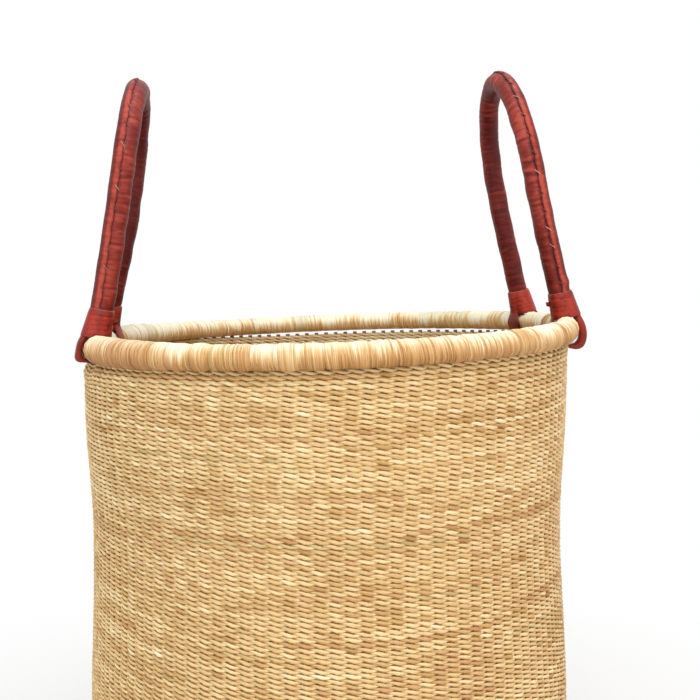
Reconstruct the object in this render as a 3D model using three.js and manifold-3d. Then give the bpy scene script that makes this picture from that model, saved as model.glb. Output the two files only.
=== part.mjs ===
// Tall bolga basket: a twined straw body with a wrapped rim, and two leather-covered handles that
// swing on the rim. Millimetres, +Z up, origin at the centre of the base's underside. The handles
// stand near +X and -X, and the front of the basket faces -Y.
import * as THREE from "three";
import { mergeVertices } from "three/addons/utils/BufferGeometryUtils.js";
import Module from "manifold-3d";

const { Group, Matrix4, MathUtils, Vector2, Vector3 } = THREE;

// Straw body. Each inset is how far the wall stands inside the rim's outer edge.
const rimOuterDiameter = 400;
const rimTubeDiameter = 17.6;
const rimTopHeight = 510;
const mouthInset = 3.8;
const mouthDrop = 23;
const shoulderInset = 4.3;
const shoulderDrop = 71;
const waistInset = 7.4;
const waistDrop = 143;
const bellyInset = 1.2;
const bellyHeight = 180;
const footInset = 10;
const edgeRadius = 24;
const wallThickness = 5;
const baseThickness = 6.5;
const restCut = 0.5;
const seamGap = 0.3;

// Handmade lean: the mouth tips up towards +X, and the wall drifts a little off the rim's centre,
// first towards +X at the belly and then back towards -X at the mouth.
const rimLeanDegrees = 2.3;
const leanStartHeight = 270;
const leanExponent = 1.6;
const rimShift = 1.2;
const mouthShift = -1.8;
const bellyShift = 1.9;
const bellyShiftTop = 330;

// Straw wrapping of the rim, in slanting bundles with a slit below for the wall.
const wrapThickness = 2.4;
const wrapGap = 0.3;
const slitGap = 0.7;
const bundleCount = 32;
const bundleDepth = 0.5;
const bundleSlant = 4;

// Handles: straight legs and an elliptical arch, measured along the leg from the rim tube's centre.
const handleReach = 206;
const handleSpread = 100;
const legStraight = 125;
const handleBow = 3.6;
const rightLeanDegrees = 11;
const leftLeanDegrees = 11.5;
const legDiameter = 16.8;
const coverThickness = 1;
const coverStart = 21;
const lapGap = 0.3;
const lapFaceDegrees = 4;
const coreClearance = 0.5;

// Foot straps: folded leather bands round the rim, with both ends tucked up inside the cover.
const strapWidth = 11;
const strapThickness = 4;
const strapChamfer = 1.1;
const strapClearance = 0.9;
const strapForkHeight = 24;
const strapTouchDegrees = 62;
const plyGap = 0.4;
const tuckLength = 22;
const tuckGap = 1.2;
const notchSideGap = 2.2;

// Foot bindings: a leather strip wound round the leg where cover and straps meet.
const bindingStart = 11.2;
const bindingTurns = 4.25;
const bindingStripWidth = 3.8;
const bindingStripThickness = 1.2;
const bindingTurnGap = 0.5;
const bindingClearance = 0.5;
const bindingFlare = 1.4;

// Facets.
const roundSteps = 64;
const coreSides = 6;
const wrapStepsPerBundle = 3;
const bindingStepsPerTurn = 16;

const rimTubeRadius = rimTubeDiameter / 2;
const rimOuterRadius = rimOuterDiameter / 2;
const rimRadius = rimOuterRadius - rimTubeRadius;
const footRadius = rimOuterRadius - footInset;
const rimHeight = rimTopHeight - rimTubeRadius;
const rimCoreRadius = rimTubeRadius - wrapThickness - wrapGap;
const edgeHeight = edgeRadius - restCut;
const wallTop = rimHeight - rimCoreRadius - wrapGap;
const wallThroat = rimHeight - rimTubeRadius;
const mouthHeight = rimHeight - mouthDrop;
const rimLean = MathUtils.degToRad(rimLeanDegrees);

const straw = new THREE.MeshStandardMaterial({ color: "#d3a869", roughness: 0.8, metalness: 0 });
const darkStraw = new THREE.MeshStandardMaterial({ color: "#b98f57", roughness: 0.85, metalness: 0 });
const paleStraw = new THREE.MeshStandardMaterial({ color: "#e6c88e", roughness: 0.7, metalness: 0 });
const leather = new THREE.MeshStandardMaterial({ color: "#a5392b", roughness: 0.5, metalness: 0 });
const brightLeather = new THREE.MeshStandardMaterial({ color: "#b23a2c", roughness: 0.5, metalness: 0 });

const wasm = await Module();
wasm.setup();

// Turns every face outward: a closed mesh with negative volume has its triangles reversed.
function faceOutward(geometry) {
  const place = geometry.getAttribute("position");
  const index = geometry.getIndex().array;
  const corner = [new Vector3(), new Vector3(), new Vector3()];
  let volume = 0;
  for (let i = 0; i < index.length; i += 3) {
    corner.forEach((point, k) => point.fromBufferAttribute(place, index[i + k]));
    volume += corner[0].dot(corner[1].cross(corner[2]));
  }
  if (volume < 0) {
    geometry.setIndex(Array.from(index).reverse());
  }
  return geometry;
}

function closed(geometry) {
  geometry.deleteAttribute("normal");
  geometry.deleteAttribute("uv");
  return faceOutward(mergeVertices(geometry));
}

function finished(geometry) {
  geometry.computeVertexNormals();
  return geometry;
}

// A solid of revolution about Z from an outline of (radius, height) points.
function revolve(outline, steps) {
  const geometry = new THREE.LatheGeometry(outline, steps);
  geometry.rotateX(Math.PI / 2);
  return closed(geometry);
}

// A solid that joins equal rings of points, in order. Its ends are capped by the flat section, a
// counter-clockwise outline seen against the direction of travel, unless the rings close on themselves.
function loft(rings, section) {
  const sides = rings[0].length;
  const stretches = section ? rings.length - 1 : rings.length;
  const index = [];
  for (let i = 0; i < stretches; i++) {
    const here = i * sides;
    const next = ((i + 1) % rings.length) * sides;
    for (let j = 0; j < sides; j++) {
      const k = (j + 1) % sides;
      index.push(here + j, here + k, next + k, here + j, next + k, next + j);
    }
  }
  if (section) {
    const last = stretches * sides;
    for (const [a, b, c] of THREE.ShapeUtils.triangulateShape(section, [])) {
      index.push(c, b, a, last + a, last + b, last + c);
    }
  }
  const geometry = new THREE.BufferGeometry();
  geometry.setAttribute(
    "position",
    new THREE.Float32BufferAttribute(rings.flat().flatMap((point) => point.toArray()), 3),
  );
  geometry.setIndex(index);
  return faceOutward(geometry);
}

// One ring of a loft: the section's points, placed on two axes at a point of the path.
function ring(section, centre, across, along) {
  return section.map(({ x, y }) => centre.clone().addScaledVector(across, x).addScaledVector(along, y));
}

function toSolid(geometry) {
  const vertProperties = Float32Array.from(geometry.getAttribute("position").array);
  const triVerts = Uint32Array.from(geometry.getIndex().array);
  return new wasm.Manifold(new wasm.Mesh({ numProp: 3, vertProperties, triVerts }));
}

function fromSolid(solid) {
  const { vertProperties, triVerts } = solid.getMesh();
  const geometry = new THREE.BufferGeometry();
  geometry.setAttribute("position", new THREE.Float32BufferAttribute(vertProperties, 3));
  geometry.setIndex(Array.from(triVerts));
  return geometry;
}

function addPiece(parent, name, geometry, material) {
  const mesh = new THREE.Mesh(finished(geometry), material);
  mesh.name = name;
  parent.add(mesh);
}

const basket = new Group();
const rim = new Group();
rim.position.set(rimShift, 0, rimHeight);
rim.rotation.y = -rimLean;
basket.add(rim);

// Base: a woven disc with a rounded, upturned edge. The underside is cut flat to stand on.
function makeBase() {
  const floorSteps = 3;
  const arcSteps = 5;
  const edgeCentre = footRadius - edgeRadius;
  const innerRadius = edgeRadius - wallThickness;
  const outerSweep = Math.asin(edgeHeight / edgeRadius);
  const innerSweep = Math.asin((edgeHeight - baseThickness) / innerRadius);
  const outline = [new Vector2(0, 0)];
  for (let i = 0; i <= arcSteps; i++) {
    const angle = outerSweep * (i / arcSteps - 1);
    outline.push(new Vector2(
      edgeCentre + edgeRadius * Math.cos(angle),
      edgeHeight + edgeRadius * Math.sin(angle),
    ));
  }
  for (let i = 0; i <= floorSteps; i++) {
    const angle = -innerSweep * (i / floorSteps);
    outline.push(new Vector2(
      edgeCentre + innerRadius * Math.cos(angle),
      edgeHeight + innerRadius * Math.sin(angle),
    ));
  }
  outline.push(new Vector2(0, baseThickness));
  return revolve(outline, roundSteps);
}

// Wall: a thin shell that swells at the belly, draws in at the waist and opens to the mouth. Its top
// goes up through the slit in the rim's wrapping, and the straps pass through notches in that top.
function makeWall() {
  const sideSteps = 12;
  const throatRadius = rimRadius + wallThickness / 2;
  const side = new THREE.CatmullRomCurve3([
    new Vector3(footRadius, edgeHeight + seamGap),
    new Vector3(rimOuterRadius - bellyInset, bellyHeight),
    new Vector3(rimOuterRadius - waistInset, rimHeight - waistDrop),
    new Vector3(rimOuterRadius - shoulderInset, rimHeight - shoulderDrop),
    new Vector3(rimOuterRadius - mouthInset, mouthHeight),
  ]);
  const outer = side.getSpacedPoints(sideSteps).map(({ x, y }) => new Vector2(x, y));
  outer.push(new Vector2(throatRadius, wallThroat), new Vector2(throatRadius, wallTop));
  const inner = outer.map(({ x, y }) => new Vector2(x - wallThickness, y)).reverse();
  const outline = [...outer, ...inner, outer[0].clone()];
  const geometry = revolve(outline, roundSteps);
  const place = geometry.getAttribute("position");
  const point = new Vector3();
  for (let i = 0; i < place.count; i++) {
    point.fromBufferAttribute(place, i);
    const risen = MathUtils.clamp((point.z - leanStartHeight) / (wallTop - leanStartHeight), 0, 1);
    const swelled = MathUtils.clamp((point.z - edgeHeight) / (bellyShiftTop - edgeHeight), 0, 1);
    const sway = bellyShift * Math.sin(Math.PI * swelled);
    const drift = mouthShift * MathUtils.smoothstep(point.z, leanStartHeight, mouthHeight);
    const returned = MathUtils.smoothstep(point.z, mouthHeight, wallThroat);
    const turned = (rimHeight - point.z) * Math.sin(rimLean);
    const lift = point.x * Math.tan(rimLean) * risen ** leanExponent;
    const shift = sway + drift + (rimShift - mouthShift + turned) * returned;
    place.setXYZ(i, point.x + shift, point.y, point.z + lift);
  }
  return geometry;
}

// Rim wrapping: a C-shaped ring round the core, open below. Each bundle is a low swell that leans
// as it goes round the tube.
function makeWrap() {
  const outerSteps = 7;
  const innerSteps = 5;
  const innerRadius = (rimCoreRadius + wrapGap) / Math.cos(Math.PI / (innerSteps + 1));
  const slitHalf = wallThickness / 2 + slitGap;
  const outerEdge = Math.PI - Math.asin(slitHalf / rimTubeRadius);
  const innerEdge = Math.PI - Math.asin(slitHalf / innerRadius);
  const steps = bundleCount * wrapStepsPerBundle;
  const rings = [];
  for (let i = 0; i < steps; i++) {
    const inValley = i % wrapStepsPerBundle === 0;
    const outerRadius = inValley ? rimTubeRadius - bundleDepth : rimTubeRadius;
    const section = [];
    for (let j = 0; j <= outerSteps; j++) {
      section.push([outerEdge * (1 - 2 * j / outerSteps), outerRadius]);
    }
    for (let j = 0; j <= innerSteps; j++) {
      section.push([innerEdge * (2 * j / innerSteps - 1), innerRadius]);
    }
    rings.push(section.map(([turn, radius]) => {
      const slant = bundleSlant * turn / Math.PI / rimRadius;
      const angle = 2 * Math.PI * i / steps + slant;
      const reach = rimRadius + radius * Math.sin(turn);
      return new Vector3(reach * Math.cos(angle), reach * Math.sin(angle), radius * Math.cos(turn));
    }));
  }
  return loft(rings);
}

const strapRadius = rimTubeRadius + strapClearance + strapThickness / 2;
const footSweep = Math.asin(handleSpread / 2 / rimRadius);
const chordRadius = rimRadius * Math.cos(footSweep);
const handles = [
  { side: "right", facing: 0, lean: MathUtils.degToRad(rightLeanDegrees), mirror: 1 },
  { side: "left", facing: Math.PI, lean: MathUtils.degToRad(leftLeanDegrees), mirror: -1 },
];

addPiece(basket, "base_weave", makeBase(), darkStraw);
const rimCore = new THREE.TorusGeometry(rimRadius, rimCoreRadius, coreSides, roundSteps);
addPiece(rim, "rim_core", closed(rimCore), darkStraw);
addPiece(rim, "rim_wrap", makeWrap(), paleStraw);

basket.updateMatrixWorld(true);
const notchWidth = strapWidth + 2 * notchSideGap;
const notchDepth = strapRadius + strapThickness / 2 + strapClearance;
const notchReach = 2 * rimTubeDiameter;
let wall = toSolid(makeWall());
for (const { facing } of handles) {
  for (const turn of [facing - footSweep, facing + footSweep]) {
    const notch = new THREE.BoxGeometry(notchReach, notchWidth, notchDepth);
    notch.translate(rimRadius, 0, -notchDepth / 2);
    notch.applyMatrix4(new Matrix4().makeRotationZ(turn));
    notch.applyMatrix4(rim.matrixWorld);
    wall = wall.subtract(toSolid(closed(notch)));
  }
}
addPiece(basket, "wall_weave", fromSolid(wall), straw);

// The arch's centreline above a given start on both legs, from the front leg over to the rear leg.
function archPoints(start, archSteps) {
  const half = handleSpread / 2;
  const rise = handleReach - legStraight;
  const legShares = [0.5, 0.8];
  const leg = [start, ...legShares.map((share) => share * legStraight)];
  const points = leg.map((height) => new Vector3(0, -half, height));
  for (let i = 0; i <= archSteps; i++) {
    const angle = Math.PI * i / archSteps;
    points.push(new Vector3(0, -half * Math.cos(angle), legStraight + rise * Math.sin(angle)));
  }
  points.push(...leg.map((height) => new Vector3(0, half, height)).reverse());
  const bowStart = strapForkHeight + tuckLength;
  for (const point of points) {
    const share = Math.max(0, (point.z - bowStart) / (handleReach - bowStart));
    point.x = handleBow * share ** 2;
  }
  return points;
}

// Rings along the arch. A section's x axis points away from the loop and its y axis off the basket.
function archLoft(points, section) {
  const offBasket = new Vector3(1, 0, 0);
  const rings = points.map((point, i) => {
    const before = points[Math.max(i - 1, 0)];
    const after = points[Math.min(i + 1, points.length - 1)];
    const travel = after.clone().sub(before).normalize();
    const away = offBasket.clone().cross(travel).normalize();
    return ring(section, point, away, travel.clone().cross(away));
  });
  return loft(rings, section);
}

// Cover: one sheet of leather rolled round the core, with its free edge lapped over the start. The
// free edge and lap lie on the face that looks away from the loop.
function makeCover(archSteps) {
  const turnSteps = 12;
  const lapSteps = 2;
  const innerRadius = legDiameter / 2 - coverThickness;
  const raised = coverThickness + lapGap;
  const inner = [];
  const outer = [];
  for (let i = 0; i <= turnSteps + lapSteps; i++) {
    const angle = MathUtils.degToRad(lapFaceDegrees) + 2 * Math.PI * i / turnSteps;
    const radius = i <= lapSteps ? innerRadius + raised : innerRadius;
    const direction = new Vector2(Math.cos(angle), Math.sin(angle));
    inner.push(direction.clone().multiplyScalar(radius));
    outer.push(direction.clone().multiplyScalar(radius + coverThickness));
  }
  return archLoft(archPoints(coverStart, archSteps), [...outer, ...inner.reverse()]);
}

function makeHandleCore(archSteps) {
  const radius = legDiameter / 2 - coverThickness - coreClearance;
  const section = [];
  for (let i = 0; i < coreSides; i++) {
    const angle = 2 * Math.PI * i / coreSides;
    section.push(new Vector2(radius * Math.cos(angle), radius * Math.sin(angle)));
  }
  return archLoft(archPoints(coverStart + tuckLength + tuckGap, archSteps), section);
}

// Foot axes in the handle's frame, at the end of the chord between the feet: the rim tube's own
// direction, the direction across both tube and leg, and the upright of the strap's plane.
function footAxes(lean, end) {
  const tube = new Vector3(-Math.sin(end * footSweep), Math.cos(end * footSweep), 0);
  tube.applyAxisAngle(new Vector3(0, 1, 0), lean);
  const leg = new Vector3(0, 0, 1);
  const across = leg.clone().cross(tube).normalize().negate();
  const upright = across.clone().cross(tube).normalize();
  return { tube, leg, across, upright };
}

// Strap: down one ply, round the rim tube and back up the other, in the plane square to the tube.
// Above the tube the plies follow the leg.
function makeStrap(lean, end) {
  const forkSteps = 4;
  const underSteps = 7;
  const touchAngle = MathUtils.degToRad(strapTouchDegrees);
  const forkPullShare = 0.3;
  const plyOffset = (strapThickness + plyGap) / 2;
  const plyTop = coverStart + tuckLength;
  const fork = strapForkHeight - plyOffset;
  const touch = new Vector2(Math.sin(touchAngle), Math.cos(touchAngle)).multiplyScalar(strapRadius);
  const pull = strapForkHeight * forkPullShare;
  const upperCurve = new THREE.CubicBezierCurve(
    new Vector2(plyOffset, fork),
    new Vector2(plyOffset, fork - pull),
    new Vector2(touch.x - pull * Math.cos(touchAngle), touch.y + pull * Math.sin(touchAngle)),
    touch,
  );
  const half = [new Vector2(plyOffset, plyTop), ...upperCurve.getPoints(forkSteps)];
  for (let i = 1; i <= underSteps; i++) {
    const angle = MathUtils.lerp(touchAngle, Math.PI, i / underSteps);
    half.push(new Vector2(strapRadius * Math.sin(angle), strapRadius * Math.cos(angle)));
  }
  const route = [...half, ...half.slice(0, -1).reverse().map(({ x, y }) => new Vector2(-x, y))];
  const { tube, leg, across, upright } = footAxes(lean, end);
  const halfWidth = strapWidth / 2;
  const halfThickness = strapThickness / 2;
  const section = [
    new Vector2(halfWidth, -halfThickness + strapChamfer),
    new Vector2(halfWidth, halfThickness - strapChamfer),
    new Vector2(halfWidth - strapChamfer, halfThickness),
    new Vector2(-halfWidth + strapChamfer, halfThickness),
    new Vector2(-halfWidth, halfThickness - strapChamfer),
    new Vector2(-halfWidth, -halfThickness + strapChamfer),
    new Vector2(-halfWidth + strapChamfer, -halfThickness),
    new Vector2(halfWidth - strapChamfer, -halfThickness),
  ];
  const centre = new Vector3(0, end * handleSpread / 2, 0);
  const legSlope = leg.dot(tube) / leg.dot(upright);
  const rings = route.map((point, i) => {
    const before = route[Math.max(i - 1, 0)];
    const after = route[Math.min(i + 1, route.length - 1)];
    const travel = after.clone().sub(before).normalize();
    const spot = centre.clone().addScaledVector(across, point.x).addScaledVector(upright, point.y);
    spot.addScaledVector(tube, legSlope * Math.max(0, point.y));
    const outward = across.clone().multiplyScalar(travel.y).addScaledVector(upright, -travel.x);
    return ring(section, spot, tube, outward);
  });
  return loft(rings, section);
}

// Binding: a strip wound round the leg, its lower turns set wide to take in the forked strap.
function makeBinding(lean, end, hand) {
  const pitch = bindingStripWidth + bindingTurnGap;
  const steps = Math.round(bindingTurns * bindingStepsPerTurn);
  const climb = bindingTurns * pitch;
  const innerRadius = legDiameter / 2 + lapGap + coverThickness + bindingClearance;
  const middle = innerRadius + bindingStripThickness / 2;
  const halfWidth = bindingStripWidth / 2;
  const halfThickness = bindingStripThickness / 2;
  const section = [
    new Vector2(halfThickness, -halfWidth),
    new Vector2(halfThickness, halfWidth),
    new Vector2(-halfThickness, halfWidth),
    new Vector2(-halfThickness, -halfWidth),
  ];
  const { tube, leg, across } = footAxes(lean, end);
  const side = leg.clone().cross(across);
  const centre = new Vector3(0, end * handleSpread / 2, bindingStart + halfWidth);
  const rings = [];
  for (let i = 0; i <= steps; i++) {
    const turn = hand * 2 * Math.PI * i / bindingStepsPerTurn;
    const share = i / steps;
    const radial = across.clone().multiplyScalar(Math.cos(turn)).addScaledVector(side, Math.sin(turn));
    const spot = centre.clone().addScaledVector(leg, climb * share);
    spot.addScaledVector(radial, middle);
    spot.addScaledVector(across, bindingFlare * Math.cos(turn) * (1 - share));
    rings.push(ring(section, spot, radial, leg));
  }
  return { geometry: loft(rings, section), rings };
}

function leastGap(rings) {
  let least = Infinity;
  for (let i = 0; i < rings.length; i++) {
    for (let j = i + bindingStepsPerTurn / 2; j < rings.length; j++) {
      for (const point of rings[i]) {
        for (const other of rings[j]) {
          least = Math.min(least, point.distanceTo(other));
        }
      }
    }
  }
  return least;
}

const archSteps = 16;
for (const { side, facing, lean, mirror } of handles) {
  const seat = new Group();
  seat.rotation.z = facing;
  rim.add(seat);
  const handle = new Group();
  handle.position.x = chordRadius;
  handle.rotation.y = -lean;
  seat.add(handle);
  addPiece(handle, `${side}_handle_core`, makeHandleCore(archSteps), darkStraw);
  addPiece(handle, `${side}_handle_cover`, makeCover(archSteps), leather);
  for (const [foot, end] of [["front", -mirror], ["rear", mirror]]) {
    addPiece(handle, `${side}_${foot}_strap`, makeStrap(lean, end), leather);
    const binding = makeBinding(lean, end, end);
    addPiece(handle, `${side}_${foot}_binding`, binding.geometry, brightLeather);
    console.log(`${side} ${foot} binding: least gap between turns ${leastGap(binding.rings).toFixed(2)} mm`);
  }
}

export default basket;
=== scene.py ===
import math

import bpy
import numpy as np
from mathutils import Matrix, Vector


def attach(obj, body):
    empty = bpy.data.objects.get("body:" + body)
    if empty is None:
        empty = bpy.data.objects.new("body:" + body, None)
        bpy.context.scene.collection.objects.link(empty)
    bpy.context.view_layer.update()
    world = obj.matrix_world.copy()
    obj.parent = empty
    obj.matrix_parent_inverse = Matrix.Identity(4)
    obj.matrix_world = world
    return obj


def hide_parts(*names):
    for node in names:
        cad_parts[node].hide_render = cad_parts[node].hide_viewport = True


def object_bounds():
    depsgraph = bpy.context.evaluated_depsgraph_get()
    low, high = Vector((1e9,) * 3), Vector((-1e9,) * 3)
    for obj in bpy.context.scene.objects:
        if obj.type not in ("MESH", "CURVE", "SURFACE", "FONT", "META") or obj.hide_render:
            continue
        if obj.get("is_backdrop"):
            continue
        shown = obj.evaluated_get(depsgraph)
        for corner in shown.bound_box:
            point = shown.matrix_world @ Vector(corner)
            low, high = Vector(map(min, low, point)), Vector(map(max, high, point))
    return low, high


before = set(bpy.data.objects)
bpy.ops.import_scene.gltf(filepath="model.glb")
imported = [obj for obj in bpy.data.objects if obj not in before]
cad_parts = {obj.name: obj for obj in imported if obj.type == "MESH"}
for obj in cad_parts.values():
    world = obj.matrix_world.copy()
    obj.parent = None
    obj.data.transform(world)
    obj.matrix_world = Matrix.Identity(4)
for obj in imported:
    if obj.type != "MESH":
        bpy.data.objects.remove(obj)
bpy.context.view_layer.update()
rng = np.random.default_rng(11)


# Base: a flat disc of straw, twined in rings round the stakes, with an edge that turns up into the
# wall. Each ring is two strands of twisted, dried elephant grass that cross between the stakes, so
# both faces show slanting stitches.
stitch_pitch = 10.1
steps_per_stitch = 4
strand_sides = 5
base_row_pitch = 3.9
base_start_radius = 5.0
base_flat_radius = 166.0
base_middle_height = 3.3
base_strand_size = 1.12
millimetre = 0.001
edge_centre_height = 23.5
edge_middle_radius = 20.9
edge_first_share = 0.6
edge_arc = 1.45
# How far a strand swings off the stakes and up or down the row, and its half thickness and half
# width where two cross, with what its middle adds.
swing_out = 1.3
swing_side = 0.86
cross_half_out = 0.76
belly_half_out = 0.12
cross_half_side = 0.98
belly_half_side = 0.54
# How unevenly the strands swing out, lie along the row and swell, stitch by stitch.
uneven_out = 0.08
uneven_side = 0.1
uneven_width = 0.13
stalk_end_share = 0.1
bunch_end_share = 0.08
# How much the tone changes by row, bunch, stalk and stitch.
row_tones = 0.025
bunch_tones = 0.05
stalk_tones = 0.06
stitch_tones = 0.09
olive_share = 0.02
olive_strand = -0.5
brown_from = 0.94
brown_strand = 0.45
# How far, in stitches, a row's stitches move on from those of the row below, and by themselves.
row_creep = 0.03
row_slip = 0.06


def linear(colour):
    """The linear values of an sRGB hex colour."""
    parts = [int(colour[i:i + 2], 16) / 255 for i in (1, 3, 5)]
    return (*[p / 12.92 if p <= 0.04045 else ((p + 0.055) / 1.055) ** 2.4 for p in parts], 1)


def add_node(tree, kind, inputs, **settings):
    """A node with its settings, whose inputs are linked to a socket or set to a value."""
    made = tree.nodes.new(kind)
    for name, value in settings.items():
        setattr(made, name, value)
    for name, value in inputs.items():
        if isinstance(value, bpy.types.NodeSocket):
            tree.links.new(value, made.inputs[name])
        else:
            made.inputs[name].default_value = value
    return made


def new_material(name):
    """A material with its node tree and its shader."""
    material = bpy.data.materials.new(name)
    material.use_nodes = True
    return material, material.node_tree, material.node_tree.nodes["Principled BSDF"]


def dried_straw(name, shades, roughness):
    """Twisted, dried grass: matt, with shades that change from strand to strand, a few olive or
    brown strands, and fibres that break the light into short streaks."""
    material, tree, shader = new_material(name)
    shader.inputs["Roughness"].default_value = roughness
    shader.inputs["Specular IOR Level"].default_value = 0.3
    tone = add_node(tree, "ShaderNodeAttribute", {}, attribute_name="tone").outputs["Fac"]
    odd = add_node(tree, "ShaderNodeAttribute", {}, attribute_name="odd").outputs["Fac"]
    place = add_node(tree, "ShaderNodeTexCoord", {})
    # A fibre is 0.4 to 0.7 mm wide and runs for 20 to 30 mm.
    lengthwise = add_node(
        tree, "ShaderNodeMapping", {"Vector": place.outputs["UV"], "Scale": (45, 1600, 1)})
    fibre = add_node(
        tree, "ShaderNodeTexNoise", {"Vector": lengthwise.outputs[0], "Scale": 1, "Detail": 2})
    streak = add_node(tree, "ShaderNodeMapRange", {
        "Value": fibre.outputs["Fac"], "From Min": 0.3, "From Max": 0.7, "To Min": -0.14, "To Max": 0.14})
    # Straw from one bunch is alike for 40 to 90 mm.
    bunch = add_node(
        tree, "ShaderNodeTexNoise", {"Vector": place.outputs["Object"], "Scale": 16, "Detail": 1})
    patch = add_node(tree, "ShaderNodeMapRange", {
        "Value": bunch.outputs["Fac"], "From Min": 0.3, "From Max": 0.7, "To Min": -0.05, "To Max": 0.05})
    uneven = add_node(
        tree, "ShaderNodeMath", {0: streak.outputs[0], 1: patch.outputs[0]}, operation="ADD")
    shade = add_node(tree, "ShaderNodeMath", {0: tone, 1: uneven.outputs[0]}, operation="ADD")
    ramp = add_node(tree, "ShaderNodeValToRGB", {"Fac": shade.outputs[0]})
    stops = ramp.color_ramp.elements
    while len(stops) < len(shades):
        stops.new(0.5)
    for i, colour in enumerate(shades):
        stops[i].position = i / (len(shades) - 1)
        stops[i].color = linear(colour)
    green = add_node(tree, "ShaderNodeMapRange", {"Value": odd, "From Min": 0, "From Max": -1})
    brown = add_node(tree, "ShaderNodeMapRange", {"Value": odd, "From Min": 0, "From Max": 1})
    with_olive = add_node(tree, "ShaderNodeMix", {
        0: green.outputs[0], 6: ramp.outputs["Color"], 7: linear("#b0a266")}, data_type="RGBA")
    with_brown = add_node(tree, "ShaderNodeMix", {
        0: brown.outputs[0], 6: with_olive.outputs[2], 7: linear("#c08458")}, data_type="RGBA")
    bump = add_node(tree, "ShaderNodeBump", {
        "Height": fibre.outputs["Fac"], "Strength": 0.5, "Distance": 0.0003})
    tree.links.new(with_brown.outputs[2], shader.inputs["Base Color"])
    tree.links.new(bump.outputs[0], shader.inputs["Normal"])
    return material


def tube_piece(name, rings, closed, step_length, girth, values):
    """A piece made of tubes, from rings of points in millimetres: tubes x steps x sides x 3. The tubes
    close on themselves or end in caps. values holds one number a ring or a point by attribute."""
    tubes, steps, sides, _ = rings.shape
    spans = steps if closed else steps - 1
    tube, i, j = np.meshgrid(np.arange(tubes), np.arange(spans), np.arange(sides), indexing="ij")
    around = [(i, j), (i + 1, j), (i + 1, j + 1), (i, j + 1)]
    corners = np.stack([(tube * steps + a % steps) * sides + b % sides for a, b in around], -1)
    corners = corners.reshape(-1, 4)
    # Each tube has its own place in the grain.
    spread = np.stack([
        np.stack([(a + tube * 7.31) * step_length, (b / sides + tube * 0.37) * girth], -1)
        for a, b in around], -2).reshape(-1, 4, 2) * millimetre
    points = rings.reshape(-1, 3) * millimetre
    first, second, last = (points[corners[:, k]] for k in (0, 1, 3))
    middle = np.repeat(rings.mean(2), sides, 1).reshape(-1, 3) * millimetre
    facing = (np.cross(second - first, last - first) * (first - middle[corners[:, 0]])).sum()
    ends = np.empty((0, sides), int)
    if not closed:
        start = (np.arange(tubes) * steps * sides)[:, None] + np.arange(sides)
        ends = np.concatenate([start, (start + (steps - 1) * sides)[:, ::-1]])
    if facing < 0:
        corners, spread, ends = corners[:, ::-1], spread[:, ::-1], ends[:, ::-1]
    mesh = bpy.data.meshes.new(name)
    mesh.vertices.add(len(points))
    mesh.vertices.foreach_set("co", points.ravel())
    mesh.loops.add(corners.size + ends.size)
    mesh.loops.foreach_set("vertex_index", np.concatenate([corners.ravel(), ends.ravel()]))
    mesh.polygons.add(len(corners) + len(ends))
    mesh.polygons.foreach_set("loop_start", np.concatenate([
        np.arange(len(corners)) * 4, corners.size + np.arange(len(ends)) * sides]))
    mesh.update(calc_edges=True)
    mesh.shade_smooth()
    flat = mesh.uv_layers.new(name="grain")
    flat.data.foreach_set("uv", np.concatenate([spread.ravel(), np.zeros(ends.size * 2)]))
    for word, numbers in values.items():
        each = numbers if numbers.ndim == 3 else numbers[..., None]
        mesh.attributes.new(word, "FLOAT", "POINT").data.foreach_set(
            "value", np.broadcast_to(each, rings.shape[:3]).ravel())
    piece = bpy.data.objects.new(name, mesh)
    bpy.context.collection.objects.link(piece)
    return piece


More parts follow.
